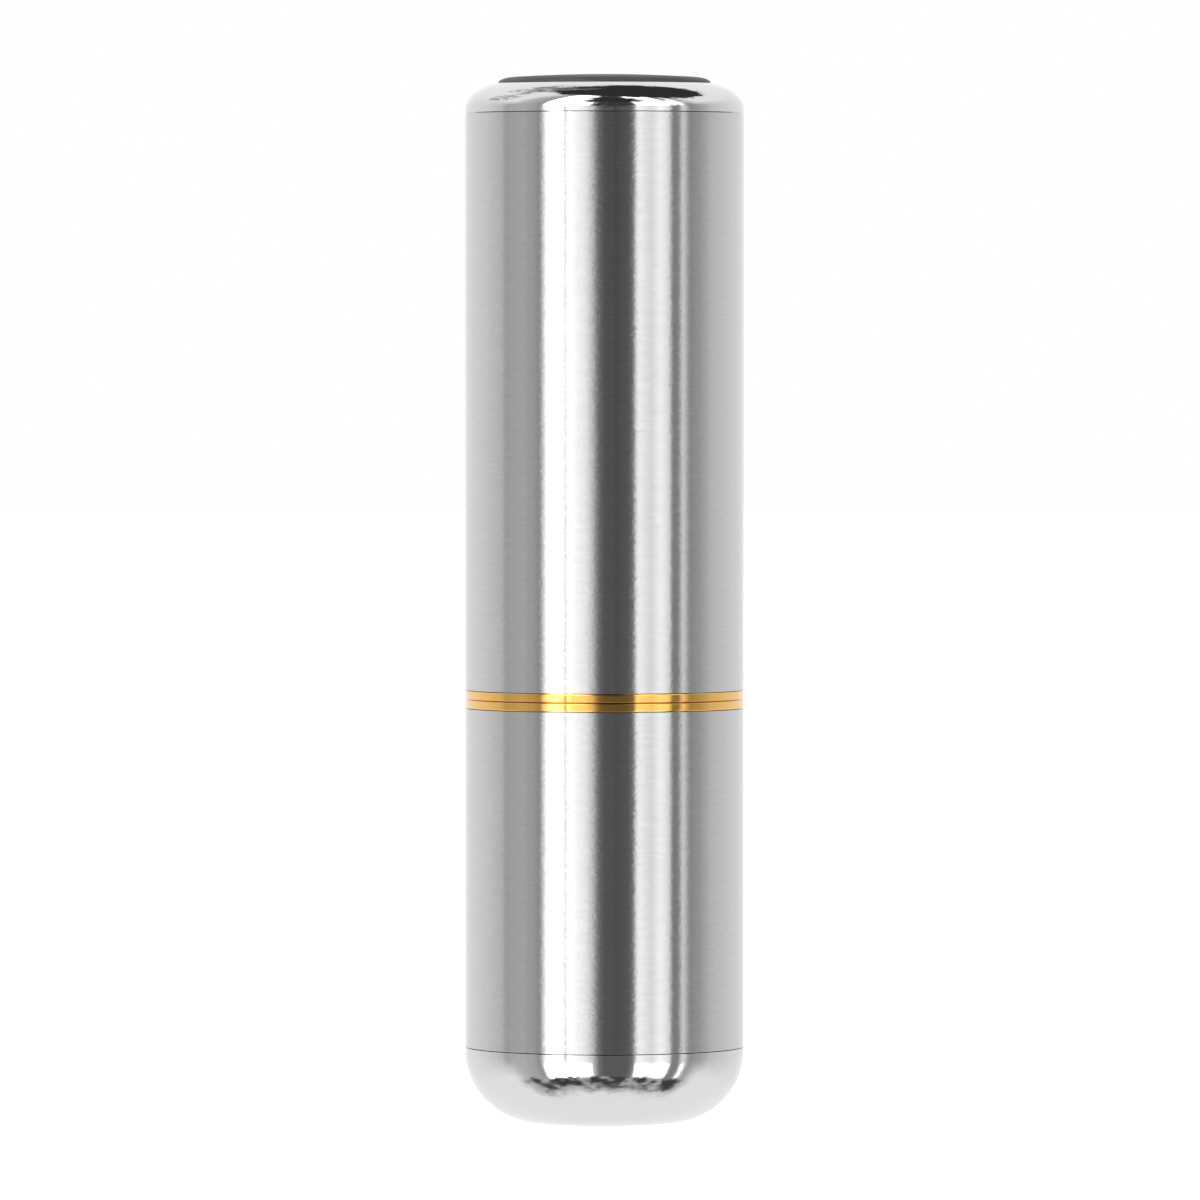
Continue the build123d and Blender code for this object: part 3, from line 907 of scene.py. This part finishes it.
def threadRidge(s):
    # one start: a trapezoid drawn up the axis as it turns, sinking into the neck at both ends
    height = s['threadTo'] - s['threadFrom']
    sunk = s['root'] - 0.2
    corners = [
        (sunk, -s['halfRoot']), (s['crest'], -s['halfCrest']),
        (s['crest'], s['halfCrest']), (sunk, s['halfRoot'])]
    bpy.ops.mesh.primitive_plane_add(size=1)
    ridge = bpy.context.object
    for vertex, corner in zip([ridge.data.vertices[i] for i in (0, 1, 3, 2)], corners):
        vertex.co = (corner[0] * mm, 0, (s['threadFrom'] + corner[1]) * mm)
    editAll()
    bpy.ops.mesh.delete(type='ONLY_FACE')
    bpy.ops.object.mode_set(mode='OBJECT')
    angle = 2 * math.pi * height / s['lead']
    applied(ridge, 'SCREW', angle=angle, screw_offset=height * mm, steps=60, render_steps=60, axis='Z')
    editAll()
    bpy.ops.mesh.fill_holes(sides=4)
    bpy.ops.mesh.normals_make_consistent(inside=False)
    bpy.ops.object.mode_set(mode='OBJECT')
    for vertex in ridge.data.vertices:
        along = math.degrees(math.atan2(vertex.co.y, vertex.co.x)) % 360
        left = min(along, math.degrees(angle) - along)
        radius = math.hypot(vertex.co.x, vertex.co.y) / mm
        if radius > s['root'] and left < s['runOut']:
            shrink = (s['root'] - 0.05 + (radius - s['root'] + 0.05) * max(left, 0) / s['runOut']) / radius
            vertex.co.x *= shrink
            vertex.co.y *= shrink
    return ridge


def makeNeck():
    s = neckLook
    low, high = span('threaded_coupler')
    soft = s['soft']
    outline = softened([
        (s['bore'], low, soft), (spigot, low, soft), (spigot, ringBottom - 0.01, soft),
        (s['seat'], ringBottom - 0.01, soft), (s['seat'], s['sealLow'], soft),
        (s['sealRoot'], s['sealLow'], soft), (s['sealRoot'], s['sealHigh'], soft),
        (s['step'], s['sealHigh'], soft), (s['step'], s['stepAt'], soft),
        (s['root'], s['stepAt'] + 0.1, soft), (s['root'], high - 0.4, soft), (s['root'] - 0.3, high, soft),
        (s['bore'], high, soft),
    ])
    neck = turn('neckThread', outline, 'turned_metal')
    ridge = threadRidge(s)
    eased(ridge, 0.04)
    joined([neck, turnedCopies(ridge, s['starts'])])
    settled('neckThread', 'turned_metal', 'lower_case', 'threaded_coupler')


makeNeck()

cellLook = {
    'nub': 0.8, 'nubRadius': 1.9, 'wrapFold': 0.45, 'discRadius': 3.9, 'discStep': 2.4, 'sealInner': 4.0,
    'sealOuter': 4.5, 'sealSunk': 0.14,
}


def makeCell():
    s = cellLook
    low, high = span('cell_can')
    outer = radiusOf('cell_label')
    steel = outer - 0.1
    shoulder = low + s['nub']
    can = softened([
        (0, low), (s['nubRadius'], low, 0.2), (s['nubRadius'] + 0.1, shoulder, 0.15),
        (steel - 0.7, shoulder, 0.2), (steel, shoulder + 0.5, 0.25), (steel, high - 0.5, 0.2),
        (steel - 0.4, high, 0.06), (s['sealOuter'] + 0.1, high, 0.04),
        (s['sealOuter'], high - s['sealSunk'], 0.04), (0, high - s['sealSunk']),
    ])
    turned('cellCan', can, 'plated_steel', 'lower_case', 'cell_can')

    wrapLow, wrapHigh = span('cell_label')
    fold = outer - s['wrapFold']
    wrap = softened([
        (steel + 0.005, wrapLow + 0.05, 0.02), (outer, wrapLow, 0.04), (outer, wrapHigh - 0.25, 0.25),
        (fold, high + 0.04, 0.004), (fold, high - 0.01, 0.004), (steel + 0.005, wrapHigh - 0.3, 0.2),
    ])
    turned('cellWrap', wrap, 'cell_wrap', 'lower_case', 'cell_label')

    sealLow, sealHigh = span('cell_seal')
    ring = softened([
        (s['sealInner'], sealLow, 0.02), (s['sealOuter'], sealLow, 0.02),
        (s['sealOuter'], sealHigh, 0.03), (s['sealInner'], sealHigh, 0.03)])
    turned('cellSeal', ring, 'black_plastic', 'lower_case', 'cell_seal')

    discLow, discHigh = span('cell_end_disc')
    plate = softened([
        (0, discLow), (s['discRadius'], discLow, 0.04), (s['discRadius'], discHigh - 0.08, 0.04),
        (s['discRadius'] - 0.25, discHigh, 0.05), (s['discStep'], discHigh, 0.05),
        (s['discStep'] - 0.2, discHigh - 0.05, 0.05),
        (0, discHigh - 0.05),
    ])
    turned('cellEndDisc', plate, 'plated_steel', 'lower_case', 'cell_end_disc')


makeCell()
print('neck and cell made')

cradleLook = {
    'bore': 5.4, 'wall': 6.4, 'collar': 8.2, 'footHigh': 2.4, 'midLow': 40.0, 'midHigh': 42.0,
    'headLow': 65.4, 'rib': 1.1, 'ribs': 4, 'windowWide': 8.3, 'windowLow': 43.5, 'windowHigh': 64.4,
    'soft': 0.22,
}


def makeCradle():
    s = cradleLook
    low, high = span('cell_cradle')
    soft, wall, collar = s['soft'], s['wall'], s['collar']
    outline = softened([
        (s['bore'], low, soft), (collar, low, soft), (collar, low + s['footHigh'], soft),
        (wall, low + s['footHigh'], soft), (wall, s['midLow'], soft), (collar, s['midLow'], soft),
        (collar, s['midHigh'], soft), (wall, s['midHigh'], soft), (wall, s['headLow'], soft),
        (collar, s['headLow'], soft), (collar, high, soft), (s['bore'] + 0.5, high, soft),
        (s['bore'], high - 0.5, soft),
    ])
    cradle = turn('cellCradle', outline, 'white_plastic')
    windowLow, windowHigh = s['windowLow'], s['windowHigh']
    window = box((s['windowWide'], 20, windowHigh - windowLow), (0, -10, (windowLow + windowHigh) / 2))
    eased(window, 0.8, 5)
    cut(cradle, [window])
    eased(cradle, 0.14)
    rib = box(
        (collar - wall + 0.1, s['rib'], high - low - 0.6), ((collar + wall) / 2 - 0.1, 0, (low + high) / 2))
    eased(rib, 0.2)
    rib.rotation_euler.z = math.radians(45)
    bpy.ops.object.transform_apply(rotation=True)
    joined([cradle, turnedCopies(rib, s['ribs'])])
    settled('cellCradle', 'white_plastic', 'lower_case', 'cell_cradle')


makeCradle()

# parts that keep the designed shape, with their edges rounded: node, body, finish, size of the round
easedParts = {
    'threadInsert': ('thread_insert', 'upper_case', 'turned_metal', 0.05),
    'motorHolder': ('motor_holder', 'lower_case', 'black_plastic', 0.18),
    'motorMagnets': ('motor_magnets', 'lower_case', 'magnet', 0.18),
    'commutatorBars': ('commutator', 'rotor', 'copper', 0.03),
    'retainingRing': ('retaining_ring', 'upper_case', 'turned_metal', 0.08),
}

for name, (node, body, finish, soft) in easedParts.items():
    eased(fromNode(node), soft)
    settled(name, finish, body, node)
print('eased parts made:', len(easedParts))

canLook = {
    'bossRadius': 2.7, 'wall': 0.4, 'floor': 0.5, 'boss': 0.6, 'hole': 2.0, 'drawn': 0.7, 'vents': 3,
    'ventRadius': 0.55, 'ventAt': 4.2,
}


def makeMotorCan():
    s = canLook
    low, high = span('motor_can')
    radius = radiusOf('motor_can')
    floor = low + s['boss']
    outline = softened([
        (s['hole'], low, 0.08), (s['bossRadius'], low, 0.2), (s['bossRadius'], floor, 0.15),
        (radius, floor, s['drawn']), (radius, high, 0.1), (radius - s['wall'], high, 0.1),
        (radius - s['wall'], floor + s['floor'], 0.35), (s['hole'], floor + s['floor'], 0.08),
    ])
    can = turn('motorCan', outline, 'plated_steel')
    turns = [2 * math.pi * i / s['vents'] for i in range(s['vents'])]
    cut(can, drillsRound(s['ventRadius'], s['ventAt'], turns, floor - 1, floor + 2))
    settled('motorCan', 'plated_steel', 'lower_case', 'motor_can')


makeMotorCan()

bushBore = 1.04


def makeBush(name, node):
    outline = band(bushBore, radiusOf(node), *span(node), 0.12, 0.15)
    turned(name, outline, 'bronze', 'lower_case', node)


makeBush('frontBush', 'motor_front_bush')
makeBush('rearBush', 'motor_rear_bush')

endCapLook = {
    'plug': 5.6, 'plugDeep': 0.5, 'flangeHigh': 0.8, 'boss': 2.8, 'hole': 1.8, 'slot': (0.9, 3.0, 1.2),
    'slotAt': 5.9,
}


def makeEndCap():
    s = endCapLook
    low, high = span('motor_end_cap')
    radius = radiusOf('motor_end_cap')
    flange = low + s['plugDeep']
    top = flange + s['flangeHigh']
    outline = softened([
        (s['hole'], low, 0.1), (s['plug'], low, 0.15), (s['plug'], flange), (radius, flange, 0.05),
        (radius, top, 0.25), (s['boss'], top, 0.12), (s['boss'], high, 0.15), (s['hole'], high, 0.1),
    ])
    cap = turn('motorEndCap', outline, 'black_plastic')
    cut(cap, [box(s['slot'], (0, side * s['slotAt'], top)) for side in (-1, 1)])
    settled('motorEndCap', 'black_plastic', 'lower_case', 'motor_end_cap')


makeEndCap()


def makeBrushes():
    # two leaf springs, each slit into two fingers
    low = span('motor_brushes')[0]
    leaves = fromNode('motor_brushes')
    cut(leaves, [box((6, 0.2, 0.9), (0, 0, low + 0.35))])
    eased(leaves, 0.04)
    settled('motorBrushes', 'copper', 'lower_case', 'motor_brushes')


makeBrushes()

leadLook = {'tab': 4.2, 'out': 2.15, 'radius': 0.45, 'core': 0.22}


def makeLeads():
    s = leadLook
    low, high = span('motor_tabs')
    tabs = fromNode('motor_tabs')
    hole = drill(0.38, 0, 0, -6, 6)
    hole.rotation_euler.y = math.pi / 2
    only(hole)
    bpy.ops.object.transform_apply(rotation=True)
    hole.location.z = (high - 0.45) * mm
    bpy.ops.object.transform_apply(location=True)
    cut(tabs, [hole])
    eased(tabs, 0.04)
    settled('motorTabs', 'plated_steel', 'lower_case', 'motor_tabs')

    height = low + 0.9
    boardLow, boardHigh = span('contact_board')
    start, end = s['tab'] + 0.35, s['tab'] + s['out']
    turnedCopies(wire([
        (start, 0, height), (start + 0.5, 0, height), (end - 0.5, 0, height), (end, 0, height + 0.5),
        (end, 0, boardLow - 0.5), (end, 0, boardLow - 0.02)], s['radius'], 8, 4), 2)
    settled('motorLeads', 'lead_sheath', 'lower_case', 'motor_leads')

    core = wire([(s['tab'] - 0.3, 0, height), (s['tab'], 0, height), (start + 0.1, 0, height)], s['core'])
    dome = blob(s['tab'] + 0.12, 0, height, 0.5, 0.42)
    joint = blob(end, 0, boardHigh, 0.75, 0.22)
    turnedCopies(joined([core, dome, joint]), 2)
    settled('leadSolder', 'plated_steel', 'lower_case')


makeLeads()

contactLook = {'holeRadius': 0.5, 'holesAt': (-7.6, 7.6), 'ringBore': 8.6}


def makeContactBoard():
    s = contactLook
    low, high = span('contact_board')
    board = turn('contactBoard', disc(radiusOf('contact_board'), low, high, 0.06, 0.06), 'board_green')
    cut(board, [drill(s['holeRadius'], 0, y, low - 1, high + 1) for y in s['holesAt']])
    settled('contactBoard', 'board_green', 'lower_case', 'contact_board')

    ringLow, ringHigh = span('ground_ring')
    outer = radiusOf('ground_ring')
    ring = softened([
        (s['ringBore'], ringLow, 0.05), (outer, ringLow, 0.05),
        (outer, ringHigh, 0.08), (s['ringBore'], ringHigh, 0.08)])
    turned('groundRing', ring, 'gold_contact', 'lower_case', 'ground_ring')

    padLow, padHigh = span('contact_pad')
    outer = radiusOf('contact_pad')
    pad = softened([
        (0, padLow), (outer, padLow, 0.05), (outer, padHigh - 0.2, 0.1), (outer - 0.5, padHigh, 0.15),
        (0, padHigh)])
    turned('contactPad', pad, 'gold_contact', 'lower_case', 'contact_pad')


makeContactBoard()
print('motor and lower contacts made')

rotorLook = {'sheet': 0.34, 'pitch': 0.4, 'wire': 0.1, 'turns': 7, 'layers': 3}


def makeRotor():
    s = rotorLook
    low, high = span('motor_shaft')
    radius = radiusOf('motor_shaft')
    outline = softened([
        (0, low), (radius - 0.2, low, 0.05), (radius, low + 0.2, 0.05), (radius, high - 0.15, 0.05),
        (radius - 0.15, high, 0.05), (0, high)])
    turned('motorShaft', outline, 'polished_metal', 'rotor', 'motor_shaft')

    # thin iron sheets in a stack
    low, high = span('rotor_core')
    sheet = fromNode('rotor_core')
    for vertex in sheet.data.vertices:
        vertex.co.z = low * mm + (vertex.co.z - low * mm) * s['sheet'] / (high - low)
    eased(sheet, 0.03, 1)
    count = round((high - low) / s['pitch'])
    applied(sheet, 'ARRAY', count=count, use_relative_offset=False, use_constant_offset=True,
            constant_offset_displace=(0, 0, s['pitch'] * mm))
    settled('rotorCore', 'heavy_metal', 'rotor', 'rotor_core')

    # enamelled wire, wound in layers along each pole
    points = []
    for layer in range(s['layers']):
        side = 0.85 + 0.2 * layer
        reach = 0.15 + 0.2 * layer
        for i in range(s['turns']):
            x = 2.15 + 0.2 * (i if layer % 2 == 0 else s['turns'] - 1 - i)
            bottom, top = low - reach, high + reach
            loop = [
                (-side, bottom + 0.3), (-side, top - 0.3), (-side + 0.2, top), (side - 0.2, top),
                (side, top - 0.3), (side, bottom + 0.3), (side - 0.2, bottom), (-side + 0.2, bottom)]
            points += [(x, y, z) for y, z in loop]
    turnedCopies(wire(points, s['wire'], 2, 1), 3)
    settled('rotorWindings', 'copper', 'rotor', 'rotor_windings')


makeRotor()

weightLook = {'bore': 1.0, 'overlap': 0.6, 'proud': 0.12, 'collar': 2.4, 'flatAt': 0.6, 'soft': 0.22}


def makeWeight():
    # a half round on a full collar
    s = weightLook
    low, high = span('eccentric_weight')
    radius = radiusOf('eccentric_weight')
    inner = s['bore'] + s['overlap']
    half = turn('weightHalf', band(inner, radius, low, high, 0.1, s['soft']), 'heavy_metal')
    cut(half, [box((30, 20, 20), (0, s['flatAt'] + 10, (low + high) / 2))])
    eased(half, 0.15)
    outline = band(s['bore'], s['collar'], low + s['proud'], high - s['proud'], 0.1, 0.15)
    joined([half, turn('weightCollar', outline, 'heavy_metal')])
    settled('eccentricWeight', 'heavy_metal', 'rotor', 'eccentric_weight')


makeWeight()

springLook = {
    'wire': 0.2, 'closed': 0.8, 'perTurn': 18, 'travel': 0.7, 'returnTurns': 4.6, 'contactTurns': 3.6,
    'contactRadii': (2.2, 3.15),
}


def coilPoints(radiusLow, radiusHigh, low, high, turns):
    # the end turns lie nearly flat and the turns between them climb
    s = springLook
    flat = 2 * s['wire'] * s['closed']
    steps = round(turns * s['perTurn'])
    points = []
    for i in range(steps + 1):
        t = turns * i / steps
        if t < s['closed']:
            z = low + flat * t / s['closed']
        elif t > turns - s['closed']:
            z = high - flat * (turns - t) / s['closed']
        else:
            z = low + flat + (high - low - 2 * flat) * (t - s['closed']) / (turns - 2 * s['closed'])
        radius = radiusLow + (radiusHigh - radiusLow) * i / steps
        points.append((radius * math.cos(2 * math.pi * t), radius * math.sin(2 * math.pi * t), z))
    return points


def makeSprings():
    s = springLook
    r = s['wire']
    low, high = span('return_spring')
    radius = radiusOf('return_spring') - r
    wire(coilPoints(radius, radius, low + r, high - r, s['returnTurns']), r, 3, 3)
    piece = settled('returnSpring', 'plated_steel', 'upper_case', 'return_spring')
    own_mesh(piece)

    low, high = span('contact_spring')
    wire(coilPoints(*s['contactRadii'], low + r, high - r, s['contactTurns']), r, 3, 3)
    settled('contactSpring', 'gold_contact', 'upper_case', 'contact_spring')


makeSprings()

topBoardLook = {
    'holeAt': 7.0, 'holeRadius': 0.45, 'holeTurns': (1.45, 3.1, 5.6),
    'chipAt': 5.7, 'chipTurn': 20, 'chipSide': 3.2, 'legs': 4, 'legPitch': 0.75, 'partCap': 0.3,
    # length, width and height of the capacitors and resistors, how far out they sit, and their angles
    'parts': ((1.6, 0.9, 0.8, 5.6, (120, 165)), (1.2, 0.7, 0.4, 6.3, (215, 240, 265, 290))),
}


def makeControlBoard():
    s = topBoardLook
    low, high = span('control_board')
    board = turn('controlBoard', disc(radiusOf('control_board'), low, high, 0.06, 0.06), 'board_green')
    cut(board, drillsRound(s['holeRadius'], s['holeAt'], s['holeTurns'], low - 1, high + 1))
    settled('controlBoard', 'board_green', 'upper_case', 'control_board')

    chipLow, chipHigh = span('control_chip')
    side = s['chipSide']
    body = box((side, side, chipHigh - chipLow - 0.1), (s['chipAt'], 0, (chipLow + chipHigh - 0.1) / 2))
    cut(body, [drill(0.25, s['chipAt'] - 1.1, -1.1, chipLow - 1, chipLow + 0.08)])
    eased(body, 0.06)
    body.rotation_euler.z = math.radians(s['chipTurn'])
    settled('controlChip', 'black_plastic', 'upper_case', 'control_chip')

    legs = []
    middle = (chipLow + chipHigh) / 2
    for hand in (-1, 1):
        for i in range(s['legs']):
            x = s['chipAt'] + (i - (s['legs'] - 1) / 2) * s['legPitch']
            bend = [(-0.1, middle), (0.15, middle), (0.28, chipHigh - 0.12), (0.55, chipHigh - 0.1)]
            legs.append(wire([(x, hand * (side / 2 + out), z) for out, z in bend], 0.12, 6, 2))
    legs = joined(legs)
    legs.rotation_euler.z = math.radians(s['chipTurn'])
    settled('chipLegs', 'plated_steel', 'upper_case')

    # ceramic bodies, and the metal caps on their ends
    bodies, ends = [], []
    cap = s['partCap']
    for length, width, tall, at, angles in s['parts']:
        for angle in angles:
            body = length - cap
            for group, along, offsets, grow in ((bodies, body, (0,), 0.0), (ends, cap, (-1, 1), 0.03)):
                for offset in offsets:
                    x = at + offset * body / 2
                    part = box((along, width + grow, tall + grow), (x, 0, low - tall / 2))
                    eased(part, 0.06)
                    part.rotation_euler.z = math.radians(angle)
                    bpy.ops.object.transform_apply(rotation=True)
                    group.append(part)
    joined(bodies)
    settled('boardParts', 'part_ceramic', 'upper_case', 'board_parts')
    joined(ends)
    settled('boardPartEnds', 'plated_steel', 'upper_case')


makeControlBoard()

switchLook = {'side': 7.0, 'plate': 0.3, 'foot': 0.25, 'footWide': 1.6, 'hole': 1.75, 'rivetAt': 2.7}


def makeSwitch():
    s = switchLook
    low, high = span('switch_cover')
    side = s['side']
    plate = box((side, side, s['plate']), (0, 0, high - s['plate'] / 2))
    cut(plate, [drill(s['hole'], 0, 0, low, high + 1, 64)])
    eased(plate, 0.06)
    foot = box((s['foot'], s['footWide'], high - low), ((side + s['foot']) / 2, 0, (low + high) / 2))
    eased(foot, 0.08)
    feet = turnedCopies(foot, 4)
    at = s['rivetAt']
    rivets = [blob(x, y, high, 0.45, 0.16) for x in (-at, at) for y in (-at, at)]
    joined([plate, feet, *rivets])
    settled('switchCover', 'plated_steel', 'upper_case', 'switch_cover')

    bodyLow, bodyHigh = span('switch_body')
    body = box((side, side, bodyHigh - bodyLow), (0, 0, (bodyLow + bodyHigh) / 2))
    cut(body, [drill(s['hole'], 0, 0, bodyLow + 0.25, bodyHigh + 1, 64)])
    eased(body, 0.1)
    settled('switchBody', 'black_plastic', 'upper_case', 'switch_body')

    low, high = span('switch_stem')
    radius = radiusOf('switch_stem')
    turned('switchStem', disc(radius, low, high, 0.08, 0.12), 'white_plastic', 'button', 'switch_stem')


makeSwitch()

coreLook = {
    'boss': 2.6, 'well': 7.6, 'seat': 80.4, 'flangeTop': 80.25, 'sealRoot': 7.9, 'sealLow': 80.55,
    'sealHigh': 80.95,
}


def makeButtonCore():
    s = coreLook
    low, high = span('button_core')
    flange = radiusOf('button_core')
    shank = radiusOf('button_cap')
    outline = softened([
        (0, low), (s['boss'], low, 0.12), (s['boss'], s['seat'], 0.12), (s['well'], s['seat'], 0.12),
        (s['well'], low, 0.12), (flange, low, 0.12), (flange, s['flangeTop'], 0.06),
        (shank, s['flangeTop'], 0.06), *groove(shank, s, 0.03), (shank, high, 0.03), (0, high),
    ])
    turned('buttonCore', outline, 'black_plastic', 'button', 'button_core')

    low, high = span('button_seal')
    outer = radiusOf('button_seal')
    lip = softened([
        (s['sealRoot'], low, 0.05), (outer - 0.1, low, 0.05), (outer, low + 0.12, 0.05),
        (outer, high - 0.12, 0.05), (outer - 0.1, high, 0.05), (s['sealRoot'], high, 0.05)])
    turned('buttonSeal', lip, 'black_rubber', 'button', 'button_seal')


makeButtonCore()
print('top end made')
